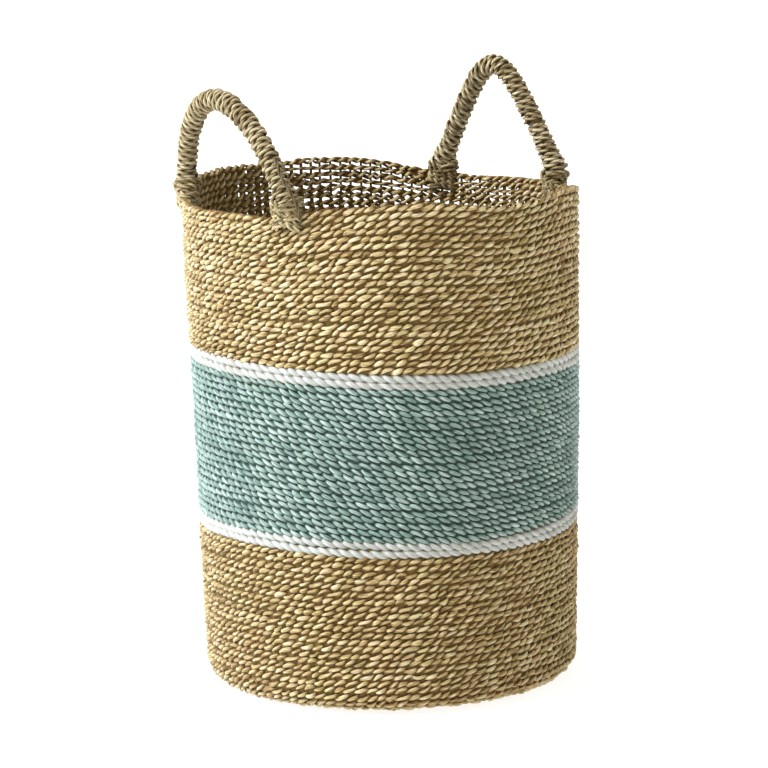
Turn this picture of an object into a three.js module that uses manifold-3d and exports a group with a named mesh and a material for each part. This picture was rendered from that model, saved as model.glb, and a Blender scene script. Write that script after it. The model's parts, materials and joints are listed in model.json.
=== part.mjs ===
// Woven laundry basket: a round twined basket with two rope handles.
// Millimetres, +Z up, origin at the middle of the underside, where the basket stands.

import * as THREE from 'three';
import * as BufferGeometryUtils from 'three/addons/utils/BufferGeometryUtils.js';
import Module from 'manifold-3d';

const wasm = await Module();
wasm.setup();

// ---- driving dimensions ----
const RIM_RADIUS = 180;        // outside of the wall at the rim
const FOOT_RADIUS = 170.5;     // outside of the wall just above the rounded corner
const WALL_HEIGHT = 457;
const WALL_THICKNESS = 10;
const CORNER_RADIUS = 20;      // outside, where the wall turns into the base
const GAP = 0.3;               // between touching pieces

const LOWER_WHITE_FROM = 144;  // heights of the colour changes
const MINT_FROM = 156.5;
const UPPER_WHITE_FROM = 293.5;
const UPPER_NATURAL_FROM = 306.5;
const RIM_ROW_HEIGHT = 8;

const RIM_DROP = 5;            // the rim's mean level below WALL_HEIGHT
const RIM_WAVE = 11;           // it dips at both handles and rises between them
const RIM_WAVE_ANGLE = 38;     // degrees, where it is lowest
const RIM_WAVE_SHOULDER = 0.22; // share of a quicker wave, broadens the dips and rises
const RIM_DENTS = [            // and it is pulled up or down at some places
  { at: 254, rise: 5, width: 12 },
  { at: 310, rise: -12, width: 32 },
];

const HUB_RADIUS = 26;         // crossed starting knot in the middle of the base
const BASE_WEFT_RADIUS = 148;

const STAKE_COUNT = 28;
const STAKE_WIDTH = 4.5;
const STAKE_THICKNESS = 3.2;
const STAKE_START = HUB_RADIUS + 2;

const ROPE_RADIUS = 10;        // handle, over its wrapping
const CORE_RADIUS = 6;
const KNOT_RADIUS = 9.8;       // rounded end of each handle leg, on the hinge axis
const HINGE_HEIGHT = 463;
const LASHING_WIDTH = 28;
const LASHING_THICKNESS = 5.5;

// feet: angles around the basket; reach: the arch's two middle control points
const HANDLES = [
  { name: 'left', feet: [180, 241.4], reach: 50, rise: 104, lean: 11 },
  { name: 'right', feet: [25, 69], reach: 3, rise: 115, lean: -3 },
];

const RING_STEPS = 56;         // two per stake
const ARCH_STEPS = 22;
const ARCH_SIDES = 10;

const STRAW = { color: 0xc2a873, roughness: 0.9, metalness: 0 };
const STRAW_DARK = { color: 0x9c8250, roughness: 0.9, metalness: 0 };
const MINT = { color: 0x93b1a2, roughness: 0.85, metalness: 0 };
const WHITE = { color: 0xe9e6dc, roughness: 0.85, metalness: 0 };

const DEGREE = Math.PI / 180;
const basket = new THREE.Group();

function addPiece(parent, name, geometry, look) {
  const mesh = new THREE.Mesh(geometry, new THREE.MeshStandardMaterial(look));
  mesh.name = name;
  parent.add(mesh);
  return mesh;
}

// ---- booleans ----
function toSolid(geometry) {
  const bare = geometry.clone();
  bare.deleteAttribute('normal');
  bare.deleteAttribute('uv');
  const merged = BufferGeometryUtils.mergeVertices(bare, 1e-4);
  return new wasm.Manifold(new wasm.Mesh({
    numProp: 3,
    vertProperties: new Float32Array(merged.attributes.position.array),
    triVerts: new Uint32Array(merged.index.array),
  }));
}

function toGeometry(solid) {
  const mesh = solid.getMesh();
  const geometry = new THREE.BufferGeometry();
  geometry.setAttribute('position', new THREE.BufferAttribute(mesh.vertProperties, 3));
  geometry.setIndex(new THREE.BufferAttribute(mesh.triVerts, 1));
  geometry.computeVertexNormals();
  return geometry;
}

// ---- shape of the wall ----
function wallRadius(height) {
  const rise = (height - CORNER_RADIUS) / (WALL_HEIGHT - CORNER_RADIUS);
  return FOOT_RADIUS + (RIM_RADIUS - FOOT_RADIUS) * rise;
}

function rimDent(angle, dent) {
  const apart = (angle / DEGREE - dent.at + 540) % 360 - 180;
  return dent.rise * Math.exp(-((apart / dent.width) ** 2));
}

function rimLevel(angle) {
  const turn = angle - RIM_WAVE_ANGLE * DEGREE;
  const swing = Math.cos(2 * turn) - RIM_WAVE_SHOULDER * Math.cos(6 * turn);
  const dents = RIM_DENTS.reduce((sum, dent) => sum + rimDent(angle, dent), 0);
  return WALL_HEIGHT - RIM_DROP - RIM_WAVE * swing + dents;
}

// A band that reaches the rim is stretched so that its top follows the rim's wave.
function followRim(geometry, from) {
  const position = geometry.attributes.position;
  for (let i = 0; i < position.count; i += 1) {
    const angle = Math.atan2(position.getY(i), position.getX(i));
    const share = (position.getZ(i) - from) / (WALL_HEIGHT - from);
    const shift = Math.max(0, share) * (rimLevel(angle) - WALL_HEIGHT);
    position.setZ(i, position.getZ(i) + shift);
  }
  return geometry;
}

// A closed profile of [radius, height] points turned about the basket's axis.
function turned(profile) {
  const points = profile.map(([radius, height]) => new THREE.Vector2(radius, height));
  points.push(points[0].clone());
  const ring = new THREE.LatheGeometry(points, RING_STEPS);
  ring.rotateX(Math.PI / 2);
  return ring;
}

function wallBand(from, to) {
  return turned([
    [wallRadius(from), from],
    [wallRadius(to), to],
    [wallRadius(to) - WALL_THICKNESS, to],
    [wallRadius(from) - WALL_THICKNESS, from],
  ]);
}

function cornerPoints(radius, steps, reversed) {
  const centre = FOOT_RADIUS - CORNER_RADIUS;
  const points = [];
  for (let i = 0; i <= steps; i += 1) {
    const share = reversed ? 1 - i / steps : i / steps;
    const angle = -Math.PI / 2 + (Math.PI / 2) * share;
    points.push([centre + radius * Math.cos(angle), CORNER_RADIUS + radius * Math.sin(angle)]);
  }
  return points;
}

function cornerBand(from, to) {
  return turned([
    [from, 0],
    ...cornerPoints(CORNER_RADIUS, 3, false),
    [wallRadius(to), to],
    [wallRadius(to) - WALL_THICKNESS, to],
    ...cornerPoints(CORNER_RADIUS - WALL_THICKNESS, 2, true),
    [from, WALL_THICKNESS],
  ]);
}

// ---- stakes: stiff stems from the hub, out under the base and up inside the wall ----
function stakeOutline(margin) {
  const half = STAKE_THICKNESS / 2 + margin;
  const middle = WALL_THICKNESS / 2;
  const start = STAKE_START - margin;
  const top = WALL_HEIGHT - RIM_ROW_HEIGHT + margin;
  const topRadius = wallRadius(top) - middle;
  return [
    [start, middle - half],
    ...cornerPoints(CORNER_RADIUS - middle + half, 3, false),
    [topRadius + half, top],
    [topRadius - half, top],
    ...cornerPoints(CORNER_RADIUS - middle - half, 3, true),
    [start, middle + half],
  ];
}

function stakeGeometry(margin, angle) {
  const outline = stakeOutline(margin).map(([radius, height]) => new THREE.Vector2(radius, height));
  const width = STAKE_WIDTH + 2 * margin;
  const stake = new THREE.ExtrudeGeometry(new THREE.Shape(outline), {
    depth: width, steps: 1, bevelEnabled: false,
  });
  stake.translate(0, 0, -width / 2);
  stake.rotateX(Math.PI / 2);
  stake.rotateZ(angle);
  return stake;
}

function stakeAngle(index) {
  return ((index + 0.5) / STAKE_COUNT) * 2 * Math.PI;
}

function addStakes() {
  for (let i = 0; i < STAKE_COUNT; i += 1) {
    const stake = followRim(stakeGeometry(0, stakeAngle(i)), UPPER_NATURAL_FROM);
    addPiece(basket, `warp_stake_${String(i + 1).padStart(2, '0')}`, stake, STRAW_DARK);
  }
}

function stakeRoom() {
  const rooms = [];
  for (let i = 0; i < STAKE_COUNT; i += 1) {
    rooms.push(toSolid(followRim(stakeGeometry(GAP, stakeAngle(i)), UPPER_NATURAL_FROM)));
  }
  return wasm.Manifold.union(rooms);
}

// ---- wefts: each colour is one pair of strands, twined round and round the stakes ----
function addWefts() {
  const room = stakeRoom();
  const rimFrom = WALL_HEIGHT - RIM_ROW_HEIGHT;
  const bands = [
    ['base_weft', baseWeft(), STRAW],
    ['lower_natural_weft', cornerBand(BASE_WEFT_RADIUS + GAP, LOWER_WHITE_FROM - GAP), STRAW],
    ['lower_white_weft', wallBand(LOWER_WHITE_FROM, MINT_FROM - GAP), WHITE],
    ['mint_weft', wallBand(MINT_FROM, UPPER_WHITE_FROM - GAP), MINT],
    ['upper_white_weft', wallBand(UPPER_WHITE_FROM, UPPER_NATURAL_FROM - GAP), WHITE],
    ['upper_natural_weft', followRim(wallBand(UPPER_NATURAL_FROM, rimFrom - GAP), UPPER_NATURAL_FROM),
      STRAW],
  ];
  for (const [name, geometry, look] of bands) {
    addPiece(basket, name, toGeometry(toSolid(geometry).subtract(room)), look);
  }
}

function baseWeft() {
  return turned([
    [HUB_RADIUS + GAP, 0],
    [BASE_WEFT_RADIUS, 0],
    [BASE_WEFT_RADIUS, WALL_THICKNESS],
    [HUB_RADIUS + GAP, WALL_THICKNESS],
  ]);
}

function addHub() {
  const hub = new THREE.CylinderGeometry(HUB_RADIUS, HUB_RADIUS, WALL_THICKNESS, RING_STEPS / 2);
  hub.rotateX(Math.PI / 2);
  hub.translate(0, 0, WALL_THICKNESS / 2);
  addPiece(basket, 'base_hub', hub, STRAW_DARK);
}

// ---- rim: the last row, bound over the ends of the stakes ----
function addRimBorder() {
  const from = WALL_HEIGHT - RIM_ROW_HEIGHT + GAP;
  const outside = wallRadius(WALL_HEIGHT);
  const inside = outside - WALL_THICKNESS;
  const chamfer = RIM_ROW_HEIGHT / 3;
  const ring = turned([
    [outside, from],
    [outside, WALL_HEIGHT - chamfer],
    [outside - chamfer, WALL_HEIGHT],
    [inside + chamfer, WALL_HEIGHT],
    [inside, WALL_HEIGHT - chamfer],
    [inside, from],
  ]);
  addPiece(basket, 'rim_border', followRim(ring, UPPER_NATURAL_FROM), STRAW);
}

// ---- handles ----
function footPosition(angle) {
  const radius = RIM_RADIUS - WALL_THICKNESS / 2;
  return new THREE.Vector3(radius * Math.cos(angle), radius * Math.sin(angle), HINGE_HEIGHT);
}

// The arch stands on the line between its feet and leans out from the basket's axis.
function archCurve(handle) {
  const [first, second] = handle.feet.map((degrees) => footPosition(degrees * DEGREE));
  const middle = first.clone().add(second).multiplyScalar(0.5);
  const along = second.clone().sub(first).normalize();
  const outward = new THREE.Vector3(middle.x, middle.y, 0).normalize();
  const lean = handle.lean * DEGREE;
  const up = outward.multiplyScalar(Math.sin(lean)).add(new THREE.Vector3(0, 0, Math.cos(lean)));
  const crest = middle.clone().addScaledVector(up, handle.rise);
  return new THREE.CubicBezierCurve3(
    first,
    crest.clone().addScaledVector(along, -handle.reach),
    crest.clone().addScaledVector(along, handle.reach),
    second,
  );
}

function ropeSection(radius) {
  const section = new THREE.Shape();
  for (let i = 0; i < ARCH_SIDES; i += 1) {
    const angle = (i / ARCH_SIDES) * 2 * Math.PI;
    const point = [radius * Math.cos(angle), radius * Math.sin(angle)];
    if (i === 0) section.moveTo(...point);
    else section.lineTo(...point);
  }
  section.closePath();
  return section;
}

// The part of the arch that is wrapped, between its two end knots.
class WrappedStretch extends THREE.Curve {
  constructor(arch) {
    super();
    this.arch = arch;
    this.end = (KNOT_RADIUS + GAP) / arch.getLength();
  }

  getPoint(t, target = new THREE.Vector3()) {
    return target.copy(this.arch.getPointAt(this.end + t * (1 - 2 * this.end)));
  }
}

function endKnot(centre) {
  const knot = new THREE.SphereGeometry(KNOT_RADIUS, ARCH_SIDES, ARCH_SIDES / 2 + 2);
  knot.rotateX(Math.PI / 2);
  knot.translate(centre.x, centre.y, centre.z);
  return toSolid(knot);
}

function addCore(handle, arch) {
  const rope = new THREE.ExtrudeGeometry(ropeSection(CORE_RADIUS), {
    steps: ARCH_STEPS, extrudePath: arch, bevelEnabled: false,
  });
  const solid = toSolid(rope).add(endKnot(arch.getPoint(0))).add(endKnot(arch.getPoint(1)));
  addPiece(basket, `${handle.name}_handle_core`, toGeometry(solid), STRAW_DARK);
}

function addWrap(handle, arch) {
  const section = ropeSection(ROPE_RADIUS);
  section.holes.push(ropeSection(CORE_RADIUS + 2 * GAP));
  const wrap = new THREE.ExtrudeGeometry(section, {
    steps: ARCH_STEPS, extrudePath: new WrappedStretch(arch), bevelEnabled: false,
  });
  addPiece(basket, `${handle.name}_handle_wrap`, wrap, STRAW);
}

// Cord sewn through the wall and over the rim, under each end knot.
function addLashing(name, degrees) {
  const angle = degrees * DEGREE;
  const half = LASHING_WIDTH / 2;
  const edge = half / RIM_RADIUS;
  const levels = [rimLevel(angle - edge), rimLevel(angle), rimLevel(angle + edge)];
  const seat = Math.max(...levels) + GAP;
  const foot = Math.min(...levels) - 2 * RIM_ROW_HEIGHT;
  const top = HINGE_HEIGHT - KNOT_RADIUS - GAP;
  const outside = RIM_RADIUS + GAP;
  const bulge = RIM_RADIUS * (1 - Math.cos(edge));
  const inside = RIM_RADIUS - WALL_THICKNESS - bulge - 2 * GAP - 1;
  const outline = [
    [outside, foot],
    [outside + LASHING_THICKNESS, foot],
    [outside + LASHING_THICKNESS, (seat + top) / 2],
    [outside - 1, top],
    [inside + 1, top],
    [inside - LASHING_THICKNESS, (seat + top) / 2],
    [inside - LASHING_THICKNESS, foot],
    [inside, foot],
    [inside, seat],
    [outside, seat],
  ].map(([radius, height]) => new THREE.Vector2(radius, height));
  const lashing = new THREE.ExtrudeGeometry(new THREE.Shape(outline), {
    depth: LASHING_WIDTH, steps: 1, bevelEnabled: false,
  });
  lashing.translate(0, 0, -half);
  lashing.rotateX(Math.PI / 2);
  lashing.rotateZ(angle);
  addPiece(basket, name, lashing, STRAW_DARK);
}

function addHandle(handle) {
  const arch = archCurve(handle);
  addCore(handle, arch);
  addWrap(handle, arch);
  addLashing(`${handle.name}_handle_lashing_a`, handle.feet[0]);
  addLashing(`${handle.name}_handle_lashing_b`, handle.feet[1]);
}

addHub();
addStakes();
addWefts();
addRimBorder();
HANDLES.forEach(addHandle);

export default basket;
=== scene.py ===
"""Woven laundry basket: every twined strand, stake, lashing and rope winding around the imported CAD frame."""

import json
import math

import bpy
import numpy as np
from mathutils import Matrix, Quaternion, Vector


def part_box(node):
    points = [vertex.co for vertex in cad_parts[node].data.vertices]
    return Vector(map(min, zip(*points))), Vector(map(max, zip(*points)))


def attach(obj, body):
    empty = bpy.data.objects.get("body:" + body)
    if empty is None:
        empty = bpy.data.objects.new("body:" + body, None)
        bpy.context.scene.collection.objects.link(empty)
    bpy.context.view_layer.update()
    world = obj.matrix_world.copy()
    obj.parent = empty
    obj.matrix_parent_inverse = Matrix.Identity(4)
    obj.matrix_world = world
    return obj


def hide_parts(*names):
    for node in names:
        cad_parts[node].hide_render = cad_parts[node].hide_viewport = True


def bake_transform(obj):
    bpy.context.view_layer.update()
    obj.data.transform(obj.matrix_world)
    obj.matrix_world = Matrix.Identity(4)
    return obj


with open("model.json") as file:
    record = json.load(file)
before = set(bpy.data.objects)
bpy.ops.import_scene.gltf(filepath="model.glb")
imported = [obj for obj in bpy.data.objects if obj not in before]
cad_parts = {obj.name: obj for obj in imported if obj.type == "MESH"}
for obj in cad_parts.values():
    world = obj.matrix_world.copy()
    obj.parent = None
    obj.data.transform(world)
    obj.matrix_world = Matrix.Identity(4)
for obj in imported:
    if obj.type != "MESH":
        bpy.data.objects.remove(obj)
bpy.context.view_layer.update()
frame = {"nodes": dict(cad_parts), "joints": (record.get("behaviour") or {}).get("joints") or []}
MM = 0.001
TAU = 2 * math.pi

# ---- driving dimensions, millimetres unless said ----
WALL_THICKNESS = 10.0
CORNER_RADIUS = 15.0        # of the wall's mid-surface
ROW_PITCH = 6.15
STAKES = 112                # per turn at the wall
HALF_STAKES_FROM = 50.0     # radius in the base from which half of them are there; a quarter before that
ALL_STAKES_FROM = 95.0
STAKE_LEAD = 2.0            # an added stake starts this far inside the first row that it serves
STAKE_HALF_THICKNESS = 0.9
WHITE_ROWS = 2
MINT_ROWS = 23
LOOSE_ROWS = 8              # the topmost rows are less tightly packed behind
LOOSEST = 0.42              # share that the top row is thinned by at most
REED_HALF_WIDTH = 6.4       # of a stake, flat in the wall
REED_SHARE = 0.66           # and at most this share of the room it has
STRAND_TWIST = 46.0         # length in which a strand's two plies turn once
SAMPLES = 6                 # rings of vertices per stake along a strand
SIDES = 8
ROWS_PER_PIECE = 8

# How a strand runs: swing, its centre's way out from the mid-surface as it passes a stake; climb, its way up
# or down where it crosses its partner; depth and rise, its half thickness and half height; crossing, the
# share of the half height left at a crossing; front, how much longer a strand stays outside than inside;
# scatter, how far the rows' strokes are out of step; uneven, how much the strokes of one row differ;
# groove, how deep it is between a strand's two plies, as a share of its thickness; mottle, how much the
# tone changes from stroke to stroke.
STRAW_WEAVE = {"swing": 2.5, "climb": 1.65, "depth": 2.2, "rise": 2.0, "crossing": 0.85, "front": 0.2,
               "scatter": 0.34, "uneven": 1.35, "groove": 0.24, "mottle": 1.1}
MINT_WEAVE = {"swing": 2.4, "climb": 1.75, "depth": 2.3, "rise": 2.05, "crossing": 0.85, "front": 0.2,
              "scatter": 0.05, "uneven": 0.8, "groove": 0.1, "mottle": 0.55}
WHITE_WEAVE = {"swing": 1.6, "climb": 1.6, "depth": 3.1, "rise": 2.9, "crossing": 0.95, "front": 0.15,
               "scatter": 0.05, "uneven": 0.5, "groove": 0.08, "mottle": 0.8}

RIM_DROP = 5.0
RIM_WAVE = 11.0
RIM_WAVE_ANGLE = math.radians(38)
RIM_WAVE_SHOULDER = 0.22
RIM_DENTS = [(254, 5, 12), (310, -12, 32)]   # degrees round the basket, rise, width in degrees

ROPE_RADIUS = 10.0
CORD_RADIUS = 2.8           # of the cord wound round a handle
CORD_TWIST = 27.0           # length in which its two plies turn once round each other
PLY_SHARE = 0.52            # a ply's radius as a share of its cord's
WINDING_PITCH = 5.0
LASHING_LOOPS = 8           # half of them slanting each way
LASHING_STEP = 4.6          # between neighbours that slant the same way
FRONT_SIGN = 1              # which end of the left handle's hinge line is nearer the front
HANDLE_REACH = {"left": 50.0, "right": 3.0}
HANDLE_LEAN = {"left": math.radians(11), "right": math.radians(-3)}
LASHING_LIFT = {"left": 7.0, "right": 1.0}
LASHING_SPREAD = {"left": 3.0, "right": 4.0}   # away from the handle's middle
# Lashing tones: the right handle's are made darker as painted shade.
LASHING_TONE_AND_SHADE = {"left": 0.1, "right": -0.5}
LASHING_CORD_RADIUS = 3.0
ROPE_FOOT = 13.0            # straight rope below the arch, into the wall
CORE_INSET = 3.6            # of the core rope's surface below the windings'
FOOT_SWELL = 2.4            # thicker winding over a foot
FOOT_SWELL_LENGTH = 14.0
WINDING_RINGS = 26          # of vertices per turn of the winding

# Places round the basket where a white band runs high or low: waves round, amount, phase.
LOWER_BAND_LIFT = 1.2
LOWER_BAND_WAVES = [(1, 2.9, 3.07), (2, 2.0, -0.12), (3, 1.8, 0.12)]
UPPER_BAND_LIFT = 1.0
UPPER_BAND_WAVES = [(1, 5.3, 3.0), (2, 2.4, -0.35)]


def box_mm(node):
    low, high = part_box(node)
    return low / MM, high / MM


def wall_line():
    """Outer radius of the wall as a line in height, from the tops of the two white bands."""
    low = box_mm("lower_white_weft")[1]
    high = box_mm("upper_white_weft")[1]
    slope = (high.x - low.x) / (high.z - low.z)
    return slope, low.x - slope * low.z


WALL_SLOPE, WALL_START = wall_line()
BASE_EDGE = box_mm("base_weft")[1].x
HUB_RADIUS = box_mm("base_hub")[1].x
RIM_HEIGHT = box_mm("rim_border")[1].z - 4.0
FLAT_END = WALL_START + WALL_SLOPE * 2 * WALL_THICKNESS - WALL_THICKNESS / 2 - CORNER_RADIUS
CORNER_LENGTH = CORNER_RADIUS * math.pi / 2
BASE_LIFT = WALL_THICKNESS / 2 + 2.0


# ---- the mid-surface: distance along its profile, from the axis out and up ----
def profile(s):
    """Radius, height and outward normal of the mid-surface at distance s along its profile."""
    s = np.asarray(s, float)
    turn = np.clip((s - FLAT_END) / CORNER_RADIUS, 0, math.pi / 2)
    radius = np.minimum(s, FLAT_END) + CORNER_RADIUS * np.sin(turn)
    height = BASE_LIFT + CORNER_RADIUS * (1 - np.cos(turn))
    rise = np.maximum(s - FLAT_END - CORNER_LENGTH, 0)
    return radius + WALL_SLOPE * rise, height + rise, np.sin(turn), -np.cos(turn)


def distance_at(height):
    """Distance along the profile where the wall has this height."""
    return FLAT_END + CORNER_LENGTH + height - BASE_LIFT - CORNER_RADIUS


def rim_shift(theta):
    """The rim dips between the feet of each handle, rises between the handles and sags in front."""
    x = theta - RIM_WAVE_ANGLE
    shift = -RIM_DROP - RIM_WAVE * (np.cos(2 * x) - RIM_WAVE_SHOULDER * np.cos(6 * x))
    for place, rise, width in RIM_DENTS:
        apart = (np.degrees(theta) - place + 540) % 360 - 180
        shift = shift + rise * np.exp(-(apart / width) ** 2)
    return shift


def waves(theta, middle, terms):
    total = middle
    for number, amount, phase in terms:
        total = total + amount * np.cos(number * theta + phase)
    return total


def sag(theta, s):
    """Vertical shift of the rows: each white band runs a little askew, and the rim waves."""
    levels = [FLAT_END + CORNER_LENGTH]
    levels += [distance_at(z) for z in (MINT_FROM, UPPER_WHITE_FROM, RIM_HEIGHT)]
    low = waves(theta, LOWER_BAND_LIFT, LOWER_BAND_WAVES)
    high = waves(theta, UPPER_BAND_LIFT, UPPER_BAND_WAVES)
    lift = np.interp(s, levels, [0, 1, 0, 0]) * low + np.interp(s, levels, [0, 0, 1, 0]) * high
    to_rim = np.clip((s - levels[2]) / (levels[3] - levels[2]), 0, 1.05)
    return lift + to_rim ** 1.5 * rim_shift(theta)


def bulge(theta, s):
    """The wall is not quite round: hand-pulled rows leave shallow flats and swellings."""
    upright = np.clip((s - FLAT_END) / 120, 0, 1)
    return upright * (1.3 * np.cos(2 * theta + 0.6) + 0.9 * np.cos(3 * theta - 0.4 + s * 0.006)
                      + 0.5 * np.sin(5 * theta + s * 0.02))


LOWER_FROM = BASE_EDGE
UPPER_FROM = box_mm("upper_natural_weft")[0].z
LOWER_WHITE_FROM = box_mm("lower_white_weft")[0].z
MINT_FROM = box_mm("mint_weft")[0].z
UPPER_WHITE_FROM = box_mm("upper_white_weft")[0].z
RIM_ROW = 6.3


# ---- meshes ----
def make_mesh(name, points, quads, uvs, attributes):
    """A mesh from arrays: points (n, 3) in millimetres, quads (m, 4), one uv per quad corner."""
    mesh = bpy.data.meshes.new(name)
    mesh.vertices.add(len(points))
    mesh.vertices.foreach_set("co", (points * MM).astype(np.float32).ravel())
    mesh.loops.add(quads.size)
    mesh.loops.foreach_set("vertex_index", quads.astype(np.int32).ravel())
    mesh.polygons.add(len(quads))
    mesh.polygons.foreach_set("loop_start", np.arange(0, quads.size, 4, dtype=np.int32))
    mesh.polygons.foreach_set("use_smooth", np.ones(len(quads), bool))
    layer = mesh.uv_layers.new(name="OFBake")
    layer.uv.foreach_set("vector", uvs.astype(np.float32).ravel())
    for key, values in attributes.items():
        kind = "FLOAT_VECTOR" if values.ndim == 2 else "FLOAT"
        field = "vector" if values.ndim == 2 else "value"
        mesh.attributes.new(key, kind, "POINT").data.foreach_set(field, values.astype(np.float32).ravel())
    mesh.update()
    mesh.validate()
    piece = bpy.data.objects.new(name, mesh)
    bpy.context.scene.collection.objects.link(piece)
    return piece


def tube_quads(rings, sides, closed, start):
    """Corner numbers of a tube's faces, the first vertex being number start."""
    last = rings if closed else rings - 1
    i, k = np.meshgrid(np.arange(last), np.arange(sides), indexing="ij")
    j = (i + 1) % rings
    m = (k + 1) % sides
    return start + np.stack([i * sides + k, j * sides + k, j * sides + m, i * sides + m], -1)


FIBRE_TWIST = 45            # length in which the streaks turn once round a strand
FIBRE_RADIUS = 2.5


class Strands:
    """Collects tubes, each an array (rings, sides, 3), and makes one mesh of them."""

    def __init__(self):
        self.tubes = []

    def add(self, points, closed, along, around, tone, depth, seed):
        self.tubes.append((points, closed, along, around, tone, depth, seed))

    def build(self, name, strips_per_tube=2):
        counts = [strips_per_tube if t[1] else 1 for t in self.tubes]
        total = sum(counts)
        start = 0
        used = 0
        points, quads, uvs, fibre, tone, depth = [], [], [], [], [], []
        for (tube, closed, along, around, shade, sunk, seed), strips in zip(self.tubes, counts):
            rings, sides = tube.shape[:2]
            faces = tube_quads(rings, sides, closed, start)
            quads.append(faces.reshape(-1, 4))
            uvs.append(strip_uvs(faces.shape[0], sides, strips, used, total))
            points.append(tube.reshape(-1, 3))
            turn = around[None, :] + along[:, None] * TAU / FIBRE_TWIST
            fibre.append(np.stack([np.broadcast_to(along[:, None], turn.shape),
                                   FIBRE_RADIUS * np.cos(turn) + seed * 7.3,
                                   FIBRE_RADIUS * np.sin(turn) - seed * 3.1], -1).reshape(-1, 3))
            tone.append(np.broadcast_to(shade[:, None], (rings, sides)).ravel())
            depth.append(sunk.ravel())
            start += rings * sides
            used += strips
        return make_mesh(name, np.concatenate(points), np.concatenate(quads), np.concatenate(uvs),
                         {"fibre": np.concatenate(fibre), "tone": np.concatenate(tone),
                          "depth": np.concatenate(depth)})


def strip_uvs(rings, sides, strips, used, total):
    """Texture places for the baked copy: each tube unrolled into straight strips, one above another."""
    per_strip = math.ceil(rings / strips)
    i, k = np.meshgrid(np.arange(rings), np.arange(sides), indexing="ij")
    strip = i // per_strip
    begin = (i - strip * per_strip) / per_strip
    margin = 0.06
    low = (used + strip + margin + (1 - 2 * margin) * k / sides) / total
    step = (1 - 2 * margin) / sides / total
    u0 = 0.002 + 0.996 * begin
    u1 = u0 + 0.996 / per_strip
    corners = [(u0, low), (u1, low), (u1, low + step), (u0, low + step)]
    return np.stack([np.stack(c, -1) for c in corners], -2).reshape(-1, 2)


# ---- twined rows ----
rng = np.random.default_rng(7)
STAKE_JITTER = 0.05 * rng.standard_normal(STAKES)
AROUND = np.arange(SIDES) / SIDES * TAU


def stake_angle(u, count):
    """Angle of place u, counted in stakes; the stakes are a little uneven, the same all the way up."""
    places = (np.arange(count) + STAKE_JITTER[::STAKES // count][:count]) / count * TAU
    places = np.append(places, places[0] + TAU)
    whole = np.floor(u).astype(int)
    share = u - whole
    turns, index = np.divmod(whole, count)
    return places[index] * (1 - share) + places[index + 1] * share + turns * TAU


def patches(length, samples):
    """A value that stays put and then changes, as one stem of grass runs out and another starts."""
    values = []
    while len(values) < samples:
        values += [rng.random()] * int(length * (0.4 + 1.2 * rng.random()) + 1)
    tone = np.array(values[:samples])
    kernel = np.ones(5) / 5
    return np.convolve(np.concatenate([tone[-2:], tone, tone[:2]]), kernel, "valid")


def twined_row(strands, s_mid, pitch, count, lean, shift, weave, size=1.0, loose=None):
    """One row: two strands wound round each other with a half turn at every stake."""
    samples = count * SAMPLES
    u = np.arange(samples) / SAMPLES
    theta = stake_angle(u, count)
    wander = sum(rng.normal(0, a) * np.sin(n * theta + rng.random() * TAU)
                 for n, a in ((2, 0.25), (3, 0.25), (5, 0.2), (9, 0.15), (17, 0.12)))
    puff = sum(rng.normal(0, 0.15) * np.sin(n * theta + rng.random() * TAU) for n in (3, 7, 13))
    tight = np.ones(samples) if loose is None else loose(theta)
    uneven = weave["uneven"]
    early = uneven * drifting(count, 0.1)
    nearest = np.round(u - shift).astype(int) % count
    steep = 1 + uneven * drifting(count, 0.15)
    chance = uneven * rng.standard_normal((4, count))
    s_row = s_mid + wander * pitch / ROW_PITCH
    scale = pitch / ROW_PITCH * size
    for strand in (0, 1):
        swell = 1 + uneven * 0.16 * (patches(40, samples) - 0.5)
        phase = lean * math.pi * (u - shift - early) + strand * math.pi
        swing = (np.cos(phase) + weave["front"]) / (1 + weave["front"])
        face = np.sign(swing) * np.abs(swing) ** 0.6
        crest = face ** 2
        rise = weave["rise"] * scale * swell * (weave["crossing"] + (1 - weave["crossing"]) * crest)
        rise = rise * (1 + 0.09 * chance[0][nearest] * crest) * tight
        thick = weave["depth"] * size * swell * (1 + 0.08 * chance[1][nearest] * crest)
        out = weave["swing"] * size * face + 0.35 * chance[2][nearest] * crest * np.sign(face) + puff
        up = weave["climb"] * scale * (np.sin(phase) - weave["front"] * np.sin(2 * phase)) * steep
        up = (up + 0.45 * chance[3][nearest] * crest) * tight ** 2
        add_row_tube(strands, theta, s_row, out, up, thick, rise, count, weave)


def drifting(count, amount):
    """A small random value at every stake, joined smoothly around the row."""
    values = rng.normal(0, amount, count)
    u = np.arange(count * SAMPLES) / SAMPLES
    return np.interp(u, np.arange(count + 1), np.append(values, values[0]))


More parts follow.
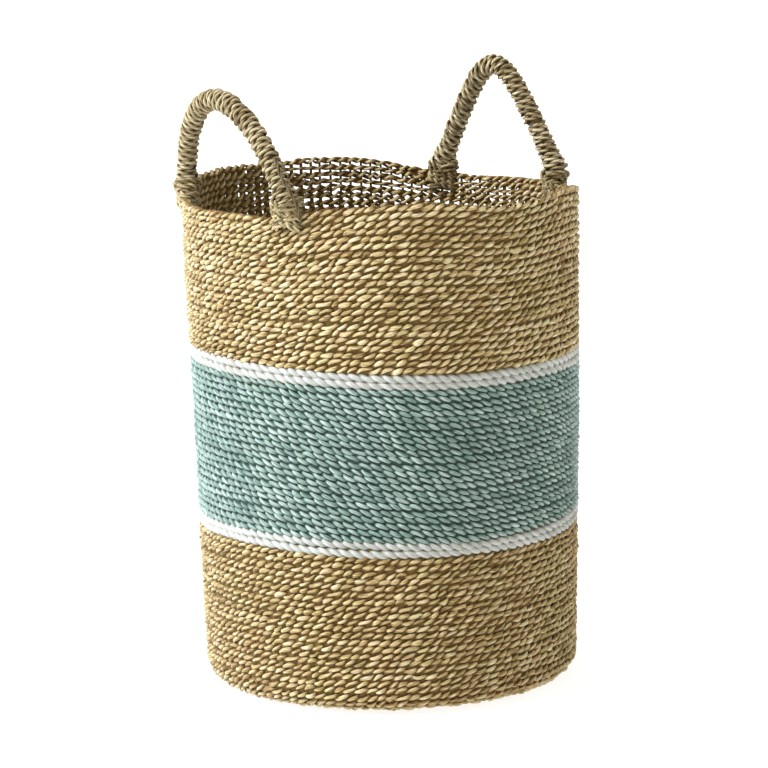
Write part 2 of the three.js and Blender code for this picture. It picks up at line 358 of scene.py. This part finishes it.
def add_row_tube(strands, theta, s_row, out, up, thick, rise, count, weave):
    """One strand of a row: out and up are its centre's places, thick and rise its half sizes there."""
    radius, height, normal_r, normal_z = profile(s_row)
    twist = theta * radius * TAU / STRAND_TWIST + rng.random() * TAU
    groove = 0.5 + 0.5 * np.cos(2 * (AROUND[None, :] - twist[:, None]))
    shape = 1 + weave["groove"] * (0.25 - groove)
    n_off = out[:, None] + thick[:, None] * shape * np.cos(AROUND)[None, :]
    t_off = up[:, None] + rise[:, None] * shape * np.sin(AROUND)[None, :]
    radius = radius + bulge(theta, s_row)
    height = height + sag(theta, s_row)
    r = radius[:, None] + n_off * normal_r[:, None] - t_off * normal_z[:, None]
    z = height[:, None] + n_off * normal_z[:, None] + t_off * normal_r[:, None]
    points = np.stack([r * np.cos(theta)[:, None], r * np.sin(theta)[:, None], z], -1)
    along = theta * radius
    tone = patches(60, len(theta))
    tone = 0.5 * tone + 0.5 * np.repeat(rng.random(count), SAMPLES)
    tone = 0.5 + weave["mottle"] * (tone - 0.5)
    # Painted shade: depth is low where a strand lies near the wall's mid-surface and in the groove between its
    # plies, which darkens it there.
    depth = np.abs(n_off) / (WALL_THICKNESS / 2) * (1 - 1.2 * weave["groove"] * groove)
    strands.add(points, True, along, AROUND, tone, depth, rng.random())


def weave_rows(name, material, weave, s_from, s_to, rows, lean, drift, node,
               count_at=lambda s: STAKES, loose_top=0):
    """Rows of twining between two distances along the profile, in pieces of a few rows each."""
    pitch = (s_to - s_from) / rows
    parts = math.ceil(rows / ROWS_PER_PIECE)
    row = 0
    shift = 0.0
    for part in range(parts):
        strands = Strands()
        stop = round(rows * (part + 1) / parts)
        while row < stop:
            s_mid = s_from + (row + 0.5) * pitch
            from_top = rows - 1 - row
            loose = loosening(from_top, loose_top) if from_top < loose_top else None
            twined_row(strands, s_mid, pitch, count_at(s_mid), lean, shift, weave, loose=loose)
            shift += drift + rng.normal(0, weave["scatter"])
            row += 1
        piece = strands.build(f"{name}_{part + 1}" if parts > 1 else name)
        dress(piece, material, "basket")
    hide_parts(node)


def rear(theta):
    """Round the rim the weave is tight in front and loose behind."""
    return np.clip(2 * np.cos(theta - 1.48) - 0.8, 0, 1)


def loosening(from_top, rows):
    """Thins a row here and there, more towards the rim, so that light comes through between rows."""
    strength = LOOSEST * (1 - from_top / rows)
    phases = rng.random(3) * TAU

    def share(theta):
        noise = np.sin(3 * theta + phases[0]) + np.sin(7 * theta + phases[1]) + np.sin(12 * theta + phases[2])
        return 1 - strength * rear(theta) * np.clip(0.1 + 0.5 * noise, 0, 1)
    return share


def dress(piece, material, body):
    """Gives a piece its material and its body."""
    piece.data.materials.append(material)
    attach(piece, body)


# ---- materials ----
def new_material(name):
    material = bpy.data.materials.new(name)
    material.use_nodes = True
    tree = material.node_tree
    return material, tree, tree.nodes["Principled BSDF"]


def link(tree, source, target):
    tree.links.new(source, target)


def attribute(tree, name):
    node = tree.nodes.new("ShaderNodeAttribute")
    node.attribute_name = name
    return node


def math_node(tree, operation, first, second, clamp=False):
    node = tree.nodes.new("ShaderNodeMath")
    node.operation = operation
    node.use_clamp = clamp
    for socket, value in zip(node.inputs, (first, second)):
        if isinstance(value, (int, float)):
            socket.default_value = value
        else:
            link(tree, value, socket)
    return node.outputs[0]


def noise(tree, vector, scale, detail, stretch=(1, 1, 1)):
    mapping = tree.nodes.new("ShaderNodeMapping")
    mapping.inputs["Scale"].default_value = stretch
    link(tree, vector, mapping.inputs["Vector"])
    node = tree.nodes.new("ShaderNodeTexNoise")
    node.inputs["Scale"].default_value = scale
    node.inputs["Detail"].default_value = detail
    link(tree, mapping.outputs[0], node.inputs["Vector"])
    return node.outputs["Fac"]


def ramp(tree, fac, stops):
    node = tree.nodes.new("ShaderNodeValToRGB")
    elements = node.color_ramp.elements
    while len(elements) < len(stops):
        elements.new(0.5)
    for element, (place, colour) in zip(elements, stops):
        element.position = place
        element.color = (*colour, 1)
    link(tree, fac, node.inputs["Fac"])
    return node.outputs["Color"]


def multiply_colours(tree, first, second):
    mix = tree.nodes.new("ShaderNodeMix")
    mix.data_type = "RGBA"
    mix.blend_type = "MULTIPLY"
    mix.inputs["Factor"].default_value = 1
    link(tree, first, mix.inputs[6])
    link(tree, second, mix.inputs[7])
    return mix.outputs[2]


def add_scaled(tree, value, share, rest):
    """rest + share * value"""
    total = math_node(tree, "MULTIPLY_ADD", value, share)
    link(tree, rest, total.node.inputs[2])
    return total


# How much each kind of variation counts in a strand's tone.
STEM_SHARE = 0.6
STREAK_SHARE = 0.46
FLECK_SHARE = 0.3
PATCH_SHARE = 0.35
TONE_OFFSET = 0.30


def tone_level(tree, fibre, streak):
    """0 for the darkest fibre to 1 for the palest: by stem, by streak, by fleck and by patch of the wall."""
    fleck = noise(tree, fibre, 0.35, 2, (0.25, 1, 1))
    coordinates = tree.nodes.new("ShaderNodeTexCoord").outputs["Object"]
    patch = noise(tree, coordinates, 14, 2)
    level = math_node(tree, "MULTIPLY", attribute(tree, "tone").outputs["Fac"], STEM_SHARE)
    level = add_scaled(tree, streak, STREAK_SHARE, level)
    level = add_scaled(tree, fleck, FLECK_SHARE, level)
    level = add_scaled(tree, patch, PATCH_SHARE, level)
    return math_node(tree, "SUBTRACT", level, TONE_OFFSET, clamp=True)


def strand_material(name, stops, painted_crease_shade, roughness, tints, painted_shade_range=(0.22, 0.68)):
    """Plant fibre: fine streaks along the strand, a tone that changes stem by stem, and painted shade in the
    creases.
    """
    material, tree, shader = new_material(name)
    fibre = attribute(tree, "fibre").outputs["Vector"]
    streak = ramp(tree, noise(tree, fibre, 0.55, 3, (0.12, 1, 1)), [(0.40, (0, 0, 0)), (0.60, (1, 1, 1))])
    colour = ramp(tree, tone_level(tree, fibre, streak), stops)
    # Painted shade: the colour is mixed towards the crease colour where the depth attribute is low, deep in
    # the weave.
    depth = ramp(tree, attribute(tree, "depth").outputs["Fac"],
                 [(painted_shade_range[0], painted_crease_shade), (painted_shade_range[1], (1, 1, 1))])
    hue = ramp(tree, noise(tree, fibre, 1, 1, (0.016, 0.3, 0.3)), tints)
    colour = multiply_colours(tree, multiply_colours(tree, colour, depth), hue)
    link(tree, colour, shader.inputs["Base Color"])
    bump = tree.nodes.new("ShaderNodeBump")
    bump.inputs["Strength"].default_value = 0.6
    bump.inputs["Distance"].default_value = 0.6 * MM
    link(tree, streak, bump.inputs["Height"])
    link(tree, bump.outputs["Normal"], shader.inputs["Normal"])
    shader.inputs["Roughness"].default_value = roughness
    shader.inputs["Specular IOR Level"].default_value = 0.35
    shader.inputs["Sheen Weight"].default_value = 0.25
    shader.inputs["Sheen Roughness"].default_value = 0.4
    return material


# Colour ramps from the darkest fibre to the palest, then slow changes of hue along a strand.
STRAW_STOPS = [(0.05, (0.20, 0.125, 0.03)), (0.35, (0.50, 0.365, 0.15)),
               (0.62, (0.67, 0.54, 0.29)), (0.95, (0.77, 0.67, 0.46))]
# A darker, more saturated copy of the straw colours for the lower band: painted shade on the lower wall.
SHADED_LOW_STRAW_STOPS = [(0.05, (0.17, 0.10, 0.02)), (0.35, (0.42, 0.29, 0.11)),
                   (0.62, (0.58, 0.45, 0.22)), (0.95, (0.69, 0.59, 0.38))]
ROPE_STOPS = [(0.05, (0.14, 0.09, 0.025)), (0.35, (0.36, 0.27, 0.12)),
              (0.62, (0.56, 0.45, 0.25)), (0.95, (0.78, 0.68, 0.46))]
MINT_STOPS = [(0.05, (0.075, 0.14, 0.115)), (0.35, (0.19, 0.29, 0.25)), (0.65, (0.34, 0.44, 0.40)),
              (0.95, (0.54, 0.63, 0.59))]
WHITE_STOPS = [(0.05, (0.36, 0.35, 0.32)), (0.4, (0.49, 0.50, 0.47)), (0.8, (0.58, 0.585, 0.57)),
               (0.95, (0.65, 0.65, 0.64))]

STRAW_TINTS = [(0.32, (0.90, 0.97, 0.80)), (0.47, (1, 1, 1)), (0.56, (1, 1, 1)), (0.72, (1.0, 0.92, 0.85))]
MINT_TINTS = [(0.32, (0.92, 1.0, 0.94)), (0.48, (1, 1, 1)), (0.70, (0.96, 0.98, 1.0))]
WHITE_TINTS = [(0.35, (0.97, 1.0, 0.97)), (0.65, (1.0, 0.98, 0.96))]

# The crease colours below are painted shade, mixed into each material where a strand lies deep in the weave.
STRAW_PAINTED_CREASE_SHADE = (0.34, 0.22, 0.05)
natural = strand_material("straw_strands", STRAW_STOPS, STRAW_PAINTED_CREASE_SHADE, 0.6, STRAW_TINTS)
shaded_low_natural = strand_material("low_straw_strands_painted_shade", SHADED_LOW_STRAW_STOPS, STRAW_PAINTED_CREASE_SHADE, 0.6, STRAW_TINTS)
mint = strand_material("mint_strands", MINT_STOPS, (0.20, 0.32, 0.27), 0.62, MINT_TINTS)
white = strand_material("white_strands", WHITE_STOPS, (0.66, 0.66, 0.60), 0.7, WHITE_TINTS)
rope = strand_material("rope_cord", ROPE_STOPS, (0.17, 0.12, 0.04), 0.6, STRAW_TINTS, (0.3, 0.9))
stem = strand_material("hub_stems", STRAW_STOPS, (0.5, 0.4, 0.25), 0.7, STRAW_TINTS)


def painted_shade_reed_material():
    """The stakes lie deep between the strands; their colour is painted shade: dark straw, darker green inside
    the dyed band.
    """
    material, tree, shader = new_material("stake_reeds_painted_shade")
    colour = ramp(tree, attribute(tree, "depth").outputs["Fac"],
                  [(0.2, (0.17, 0.105, 0.02)), (0.8, (0.05, 0.085, 0.07))])
    link(tree, colour, shader.inputs["Base Color"])
    shader.inputs["Roughness"].default_value = 0.8
    return material


painted_shade_reed = painted_shade_reed_material()


# ---- the basket's wall and base ----
def base_count(s):
    """Stakes per turn: fewer near the middle of the base."""
    if s < HALF_STAKES_FROM:
        return STAKES // 4
    return STAKES // 2 if s < ALL_STAKES_FROM else STAKES


def stake_start(index):
    """Distance from the middle of the base at which a stake starts."""
    if index % 4 == 0:
        return HUB_RADIUS - 6
    return (HALF_STAKES_FROM if index % 2 == 0 else ALL_STAKES_FROM) - STAKE_LEAD


def weave_wall():
    lower_end = distance_at(LOWER_WHITE_FROM)
    mint_start = distance_at(MINT_FROM)
    mint_end = distance_at(UPPER_WHITE_FROM)
    upper_start = distance_at(UPPER_FROM)
    rim_start = distance_at(RIM_HEIGHT) - RIM_ROW - 1.5
    base_rows = round((LOWER_FROM - HUB_RADIUS) / ROW_PITCH)
    lower_rows = round((lower_end - LOWER_FROM) / ROW_PITCH)
    upper_rows = round((rim_start - upper_start) / (ROW_PITCH + 0.25))
    weave_rows("base_rows", natural, STRAW_WEAVE, HUB_RADIUS, LOWER_FROM, base_rows, 1, 0.1,
               "base_weft", count_at=base_count)
    weave_rows("lower_natural_rows", shaded_low_natural, STRAW_WEAVE, LOWER_FROM, lower_end, lower_rows,
               1, 0.3, "lower_natural_weft")
    weave_rows("lower_white_rows", white, WHITE_WEAVE, lower_end, mint_start, WHITE_ROWS, -1, 0.3,
               "lower_white_weft")
    weave_rows("mint_rows", mint, MINT_WEAVE, mint_start, mint_end, MINT_ROWS, -1, -0.29,
               "mint_weft")
    weave_rows("upper_white_rows", white, WHITE_WEAVE, mint_end, upper_start, WHITE_ROWS, -1, 0.3,
               "upper_white_weft")
    weave_rows("upper_natural_rows", natural, STRAW_WEAVE, upper_start, rim_start, upper_rows, 1,
               0.12, "upper_natural_weft", loose_top=LOOSE_ROWS)
    rim = Strands()
    twined_row(rim, rim_start + RIM_ROW / 2, RIM_ROW, STAKES, 1, 0, STRAW_WEAVE, size=0.95)
    border = rim.build("rim_row")
    dress(border, natural, "basket")
    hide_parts("rim_border")


def straight_tube(strands, centre, radius_a, radius_b, side_a, side_b, tone=0.4, depth=1.0, sides=6):
    """A tube along points (n, 3); side_a and side_b are its cross-section's directions."""
    around = np.arange(sides) / sides * TAU
    half_a = np.reshape(radius_a, (-1, 1, 1))
    half_b = np.reshape(radius_b, (-1, 1, 1))
    points = (centre[:, None, :] + np.cos(around)[None, :, None] * side_a[:, None, :] * half_a
              + np.sin(around)[None, :, None] * side_b[:, None, :] * half_b)
    step = np.linalg.norm(np.diff(centre, axis=0), axis=1)
    along = np.concatenate([[0], np.cumsum(step)])
    shade = np.full(len(centre), tone)
    sunk = np.broadcast_to(np.reshape(depth, (-1, 1)), points.shape[:2])
    strands.add(points, False, along, around, shade, sunk, rng.random())


def add_stakes():
    """Flat reeds in the wall's mid-surface, slimmer behind the loose rows; their dark colour, green in the
    dyed band, is painted shade between the strands.
    """
    strands = Strands()
    top = distance_at(RIM_HEIGHT) - RIM_ROW * 0.6
    for index in range(STAKES):
        s = np.concatenate([np.linspace(stake_start(index), FLAT_END, 36),
                            np.linspace(FLAT_END, top, 60)[1:]])
        theta = np.full(len(s), stake_angle(np.array([float(index)]), STAKES)[0])
        radius, height, normal_r, normal_z = profile(s)
        radius = radius + bulge(theta, s)
        height = height + sag(theta, s)
        cosine, sine = np.cos(theta), np.sin(theta)
        centre = np.stack([radius * cosine, radius * sine, height], -1)
        out = np.stack([normal_r * cosine, normal_r * sine, normal_z], -1)
        side = np.stack([-sine, cosine, np.zeros(len(s))], -1)
        room = REED_SHARE * TAU * radius / np.array([base_count(place) for place in s])
        slim = 1 - np.interp(height, [RIM_HEIGHT - 60, RIM_HEIGHT - 35], [0, 0.8]) * rear(theta)
        # Inside the dyed band the stakes take the green painted shade.
        dyed = np.where((height > MINT_FROM - 2) & (height < UPPER_WHITE_FROM + 2), 1.0, 0.0)
        half_width = np.minimum(room, REED_HALF_WIDTH) * slim
        straight_tube(strands, centre, STAKE_HALF_THICKNESS, half_width, out, side, depth=dyed)
    piece = strands.build("stakes", 1)
    dress(piece, painted_shade_reed, "basket")
    nodes = [n for n in frame["nodes"] if n.startswith("warp_stake_")]
    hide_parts(*nodes)


def add_hub():
    """The first stakes cross in the middle of the base, plaited over and under each other."""
    strands = Strands()
    width = 5.6
    strips = 12
    places = (np.arange(strips) - (strips - 1) / 2) * width
    for direction in (0, 1):
        for index, place in enumerate(places):
            reach = math.sqrt((HUB_RADIUS + 8) ** 2 - place ** 2)
            x = np.linspace(-reach, reach, 60)
            parity = math.pi * (index + direction)
            z = BASE_LIFT + 1.7 * np.cos(x / width * math.pi + math.pi / 2 + parity)
            y = np.full(len(x), place)
            centre = np.stack([x, y, z] if direction == 0 else [y, x, z], -1)
            across = np.array([0, 1.0, 0] if direction == 0 else [1.0, 0, 0])
            side = np.broadcast_to(across, centre.shape)
            up = np.broadcast_to(np.array([0, 0, 1.0]), centre.shape)
            straight_tube(strands, centre, 2.6, 1.6, side, up, tone=0.2 + 0.6 * rng.random(), sides=8)
    piece = strands.build("hub_plait", 1)
    dress(piece, stem, "basket")
    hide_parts("base_hub")


# ---- handles ----
def handle_frame(name):
    """Middle, hinge direction, outward direction and half the span between the feet of a handle, from its
    joint and its lashings.
    """
    joint = next(j for j in frame["joints"] if j["child"] == f"{name}_handle")
    middle = np.array(joint["pos_m"]) / MM
    along = np.array(joint["axis"], float)
    corners = [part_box(f"{name}_handle_lashing_{end}") for end in "ab"]
    centres = [np.array((low + high) / 2) / MM for low, high in corners]
    half = np.linalg.norm((centres[1] - centres[0])[:2]) / 2
    outward = np.array([along[1], -along[0], 0])
    if outward @ middle < 0:
        outward = -outward
    return middle, along, outward, half


def end_beyond(end, inner):
    """Point a foot's length beyond a curve's end, straight on from its inner point."""
    back = end - inner
    return end + back / np.linalg.norm(back) * ROPE_FOOT


def arch_points(name, count):
    """Points along a handle's rope, from foot to foot, and its length."""
    middle, along, outward, half = handle_frame(name)
    lean = HANDLE_LEAN[name]
    up = outward * math.sin(lean) + np.array([0, 0, math.cos(lean)])
    top = box_mm(f"{name}_handle_wrap")[1].z - ROPE_RADIUS
    rise = (top - middle[2]) / 0.75 / math.cos(lean)
    crest = middle + up * rise
    first = middle - along * half
    last = middle + along * half
    control = [first, crest - along * HANDLE_REACH[name], crest + along * HANDLE_REACH[name], last]
    t = np.linspace(0, 1, 400)[:, None]
    curve = ((1 - t) ** 3 * control[0] + 3 * (1 - t) ** 2 * t * control[1]
             + 3 * (1 - t) * t ** 2 * control[2] + t ** 3 * control[3])
    curve = np.concatenate([[end_beyond(curve[0], curve[5])], curve, [end_beyond(curve[-1], curve[-6])]])
    return resample(curve, count)


def resample(points, count):
    """Evenly spaced points along a path, and its length."""
    step = np.linalg.norm(np.diff(points, axis=0), axis=1)
    length = np.concatenate([[0], np.cumsum(step)])
    wanted = np.linspace(0, length[-1], count)
    return np.stack([np.interp(wanted, length, points[:, k]) for k in range(3)], -1), length[-1]


def directions(points, across):
    """Tangent and two normals along a curve that lies near the plane square to across."""
    tangent = np.gradient(points, axis=0)
    tangent /= np.linalg.norm(tangent, axis=1)[:, None]
    side = np.broadcast_to(across, tangent.shape)
    side = side - (side * tangent).sum(1)[:, None] * tangent
    side /= np.linalg.norm(side, axis=1)[:, None]
    return tangent, side, np.cross(tangent, side)


def plied_cord(strands, centre, across, size, tone, twist=13.0):
    """Two plies twisted together along a curve; size is the cord's radius."""
    _, side, lift = directions(centre, across)
    step = np.linalg.norm(np.diff(centre, axis=0), axis=1)
    along = np.concatenate([[0], np.cumsum(step)])
    around = np.arange(6) / 6 * TAU
    ply_radius = size * PLY_SHARE
    for ply in (0, 1):
        angle = along * TAU / twist + ply * math.pi
        lay = np.cos(angle)[:, None] * side + np.sin(angle)[:, None] * lift
        middle = centre + (size - ply_radius) * lay
        points = (middle[:, None, :] + ply_radius * (np.cos(around)[None, :, None] * side[:, None, :]
                                                     + np.sin(around)[None, :, None] * lift[:, None, :]))
        shade = np.broadcast_to(tone, (len(centre),))
        # Painted shade: each ply is darker towards the cord's middle, between the plies.
        reach = np.linalg.norm(points - centre[:, None, :], axis=2) / size
        strands.add(points, False, along, around, shade, 0.25 + 0.75 * reach, rng.random())


def add_handle(name):
    """A handle's core and winding as one rope that bends between its lashed feet and its arch."""
    strands = Strands()
    centre, length = arch_points(name, 260)
    middle, along, outward, half = handle_frame(name)
    tangent, side, lift = directions(centre, outward)
    core = ROPE_RADIUS - CORE_INSET
    # Painted shade: the core's depth of 0.5 mixes it towards the rope's crease colour where it shows between
    # the windings.
    straight_tube(strands, centre, core, core, side, lift, tone=0.2, depth=0.5, sides=10)
    add_windings(strands, centre, length, side, lift, tangent)
    if name == "left":
        add_tail(strands, middle, along, half)
    piece = strands.build(f"{name}_handle_rope", 1)
    piece.data.materials.append(rope)
    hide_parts(f"{name}_handle_core", f"{name}_handle_wrap")
    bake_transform(piece)


def add_tail(strands, middle, along, half):
    """The winding's end, led off the rope above its front foot and tucked into the wall beside it."""
    foot = middle + along * half * FRONT_SIGN
    angle = math.atan2(foot[1], foot[0])
    beside = np.array([-math.sin(angle), math.cos(angle), 0])
    out = np.array([math.cos(angle), math.sin(angle), 0])
    up = np.array([0, 0, 1.0])
    places = [(-4, 6, 32), (4, 11, 17), (13, 12, 4), (18, 10, -7), (19, 8, -15), (17, 2, -24)]
    knots = [foot + beside * x + out * y + up * z for x, y, z in places]
    path = resample(smooth_path(np.array(knots)), 60)[0]
    plied_cord(strands, path, out, 1.7, -0.7, 22)


def smooth_path(knots):
    """A Catmull-Rom curve through the knots."""
    ends = np.concatenate([[2 * knots[0] - knots[1]], knots, [2 * knots[-1] - knots[-2]]])
    t = np.linspace(0, 1, 12, endpoint=False)[:, None]
    pieces = []
    for a, b, c, d in zip(ends[:-3], ends[1:-2], ends[2:-1], ends[3:]):
        pieces.append(0.5 * (2 * b + (c - a) * t + (2 * a - 5 * b + 4 * c - d) * t ** 2
                             + (3 * b - a - 3 * c + d) * t ** 3))
    return np.concatenate(pieces + [knots[-1:]])


def add_windings(strands, centre, length, side, lift, tangent):
    """Cord wound round the rope from foot to foot, each turn a little different."""
    turns = int(length / WINDING_PITCH)
    total = turns * WINDING_RINGS
    t = np.arange(total) / (total - 1)
    place = t * (len(centre) - 1)
    low = np.minimum(place.astype(int), len(centre) - 2)
    share = (place - low)[:, None]

    def at(values):
        return values[low] * (1 - share) + values[low + 1] * share
    angle = np.arange(total) / WINDING_RINGS * TAU
    turn_index = np.minimum(np.arange(total) // WINDING_RINGS, turns - 1)
    wobble = rng.standard_normal((4, turns))
    within = np.arange(total) / WINDING_RINGS - turn_index
    smooth = np.sin(within * math.pi) ** 2
    first_end = np.exp(-(t * length / FOOT_SWELL_LENGTH) ** 2)
    last_end = np.exp(-((1 - t) * length / FOOT_SWELL_LENGTH) ** 2)
    radius = (ROPE_RADIUS - CORD_RADIUS + 0.45 * wobble[0][turn_index] * smooth
              + FOOT_SWELL * (first_end + last_end))
    slide = 0.7 * wobble[1][turn_index] * smooth + 1.7 * np.sin(angle + 0.5 * wobble[2][turn_index] * smooth)
    path = (at(centre) + radius[:, None] * (np.cos(angle)[:, None] * at(side)
                                            + np.sin(angle)[:, None] * at(lift))
            + slide[:, None] * at(tangent))
    tone = np.repeat(0.05 + 0.8 * rng.random(turns), WINDING_RINGS)[:total]
    size = CORD_RADIUS * (1 + 0.08 * wobble[3][turn_index] * smooth)
    add_winding_plies(strands, path, at(centre), radius, size, tone)


def add_winding_plies(strands, path, centre, radius, size, tone):
    """The winding's two plies along its path round the rope's centre line."""
    helix = np.gradient(path, axis=0)
    helix /= np.linalg.norm(helix, axis=1)[:, None]
    outward = path - centre
    outward /= np.linalg.norm(outward, axis=1)[:, None]
    flat = np.cross(helix, outward)
    around = np.arange(7) / 7 * TAU
    along = np.arange(len(path)) * (TAU * ROPE_RADIUS / WINDING_RINGS)
    for ply in (0, 1):
        twist = along * TAU / CORD_TWIST + ply * math.pi
        lay = np.cos(twist)[:, None] * outward + np.sin(twist)[:, None] * flat
        middle = path + (size * (1 - PLY_SHARE))[:, None] * lay
        points = middle[:, None, :] + (size * PLY_SHARE)[:, None, None] * (
            np.cos(around)[None, :, None] * outward[:, None, :]
            + np.sin(around)[None, :, None] * flat[:, None, :])
        # Painted shade: each ply is darker the nearer it lies to the rope under the winding.
        reach = np.einsum("ijk,ik->ij", points - centre[:, None, :], outward) - radius[:, None]
        depth = np.clip(0.25 + 0.26 * reach, 0, 1)
        strands.add(points, False, along, around, tone, depth, rng.random())


def add_lashings(name):
    """Cord slung round the rope's end and through the wall at each foot, slanting both ways."""
    middle, along, _, half = handle_frame(name)
    for end, sign in (("a", -1), ("b", 1)):
        foot = middle + sign * along * half
        angle = math.atan2(foot[1], foot[0])
        away = math.copysign(LASHING_SPREAD[name], middle[0] * foot[1] - middle[1] * foot[0])
        strands = Strands()
        for index in range(LASHING_LOOPS):
            level = (index // 2 - (LASHING_LOOPS - 2) / 4) * LASHING_STEP + rng.normal(0, 0.5)
            slant = (1 if index % 2 else -1) * (12.0 + rng.normal(0, 0.8))
            tone = LASHING_TONE_AND_SHADE[name] + 0.7 * rng.random()
            add_loop(strands, angle, middle[2] + LASHING_LIFT[name] * 2, level, slant, away, tone)
        piece = strands.build(f"{name}_lashing_{end}", 1)
        dress(piece, rope, "basket")
        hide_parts(f"{name}_handle_lashing_{end}")


def add_loop(strands, angle, top, level, slant, away, tone):
    """One slanting turn of cord round the rope's end, its lower side sewn through the wall."""
    rim = RIM_HEIGHT + float(rim_shift(np.array([angle]))[0])
    radius = WALL_START + WALL_SLOPE * RIM_HEIGHT - WALL_THICKNESS / 2
    t = np.linspace(0, TAU, 49)
    middle = (rim + top) / 2 - 15 + level
    layer = 1.6 * rng.random()
    z = middle + 6 * np.sin(t)
    hug = np.clip((z - rim) / 12, 0, 1)
    deep = WALL_THICKNESS / 2 + 2.0 + layer + hug * (ROPE_RADIUS - WALL_THICKNESS / 2)
    out = deep * np.sign(np.cos(t)) * np.abs(np.cos(t)) ** 0.7
    tangential = away + slant * np.sin(t)
    theta = angle + tangential / radius
    r = radius + out
    centre = np.stack([r * np.cos(theta), r * np.sin(theta), z], -1)
    across = np.array([-math.sin(angle), math.cos(angle), 0])
    plied_cord(strands, centre, across, LASHING_CORD_RADIUS, tone, 18)


# ---- floor, camera and light ----
def add_floor():
    bpy.ops.mesh.primitive_plane_add(size=60)
    floor = bpy.context.object
    floor.name = "floor"
    material, _, shader = new_material("floor_paint")
    shader.inputs["Base Color"].default_value = (0.5, 0.5, 0.5, 1)
    shader.inputs["Roughness"].default_value = 0.9
    shader.inputs["Emission Color"].default_value = (1, 1, 1, 1)
    shader.inputs["Emission Strength"].default_value = 0.82
    floor.data.materials.append(material)


CAMERA_PLACE = (-0.0015, -3.3, 0.831)   # metres
CAMERA_TARGET = (-0.0015, 0, 0.269)
CAMERA_ROLL = math.radians(-1.3)


def add_camera():
    data = bpy.data.cameras.new("camera")
    data.lens = 172
    data.sensor_width = 36
    camera = bpy.data.objects.new("camera", data)
    bpy.context.scene.collection.objects.link(camera)
    camera.location = CAMERA_PLACE
    aim = (Vector(CAMERA_TARGET) - camera.location).to_track_quat("-Z", "Y")
    camera.rotation_euler = (aim @ Quaternion((0, 0, 1), CAMERA_ROLL)).to_euler()
    data.clip_end = 200
    bpy.context.scene.camera = camera


def add_sun(name, energy, colour, spread, direction):
    data = bpy.data.lights.new(name, "SUN")
    data.energy = energy
    data.color = colour
    data.angle = math.radians(spread)
    sun = bpy.data.objects.new(name, data)
    bpy.context.scene.collection.objects.link(sun)
    sun.rotation_euler = Vector(direction).to_track_quat("-Z", "Y").to_euler()


def add_lights():
    """Warm light all round, a soft key from the upper left and a cool wash from the left."""
    world = bpy.data.worlds.new("studio")
    bpy.context.scene.world = world
    world.use_nodes = True
    background = world.node_tree.nodes["Background"]
    background.inputs["Color"].default_value = (1.05, 1.0, 0.90, 1)
    background.inputs["Strength"].default_value = 0.52
    add_sun("key", 3.3, (0.96, 0.99, 1.0), 18, (0.76, 0.27, -0.78))
    add_sun("side", 1.75, (0.88, 0.97, 1.2), 30, (1, 0.12, -0.3))


weave_wall()
add_stakes()
add_hub()
for side_name in ("left", "right"):
    add_handle(side_name)
    add_lashings(side_name)
add_floor()
add_camera()
add_lights()
bpy.context.scene.view_settings.view_transform = "Standard"
